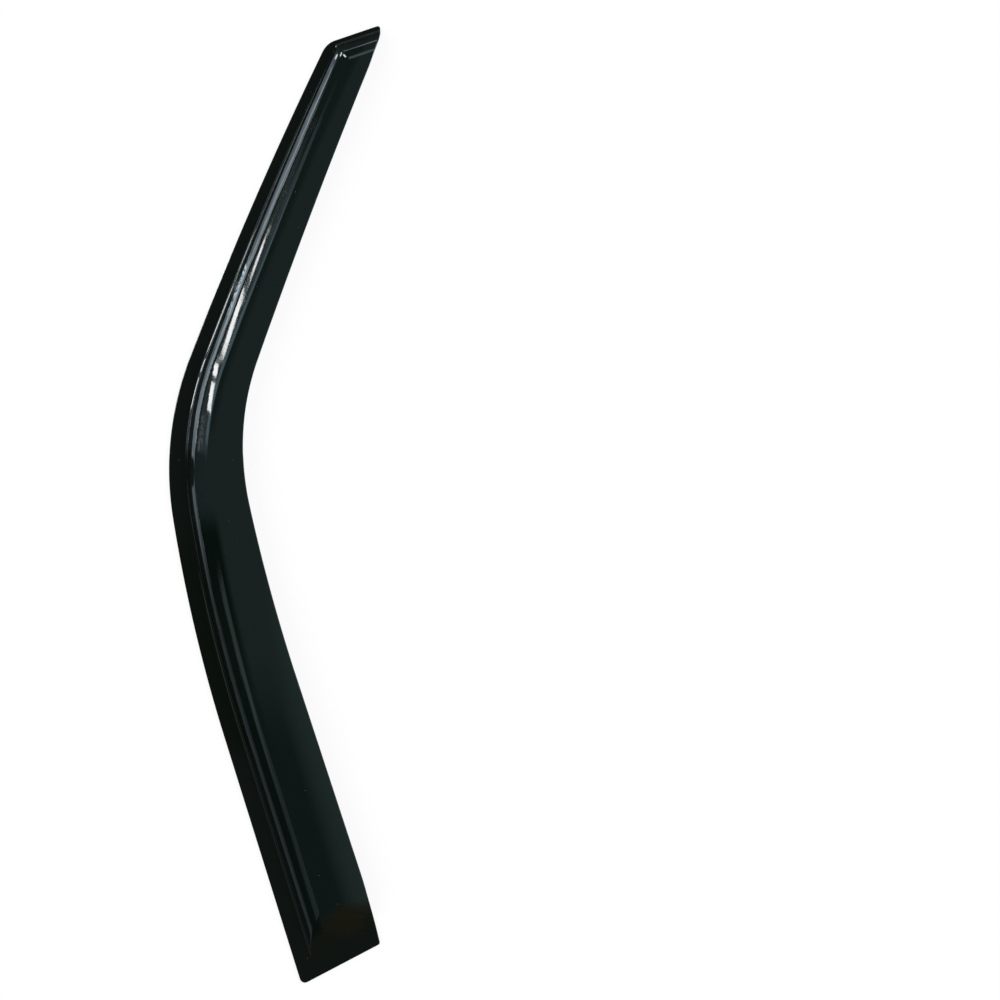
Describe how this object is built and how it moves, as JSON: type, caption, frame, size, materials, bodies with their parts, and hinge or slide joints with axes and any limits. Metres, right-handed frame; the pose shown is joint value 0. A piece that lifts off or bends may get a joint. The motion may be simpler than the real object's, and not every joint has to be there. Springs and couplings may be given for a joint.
{
  "type": "window rain deflector",
  "caption": "Dark smoke acrylic rain deflector for a car's front side window: a bent strip with a flat flange, a raised blade with an open free edge, and closed ends.",
  "frame": {"origin": "on the flange's back face, halfway across the flange at the elbow", "axes": "+X from the flanged edge to the free edge, +Y along the length towards the pointed tip, +Z out of the blade's face, away from the door"},
  "size_m": [0.1989, 0.9005, 0.018],
  "materials": {
    "smoke_acrylic": "polished gloss, dark smoke tint"
  },
  "bodies": {
    "root": {"deflector": "smoke_acrylic"}
  },
  "joints": []
}
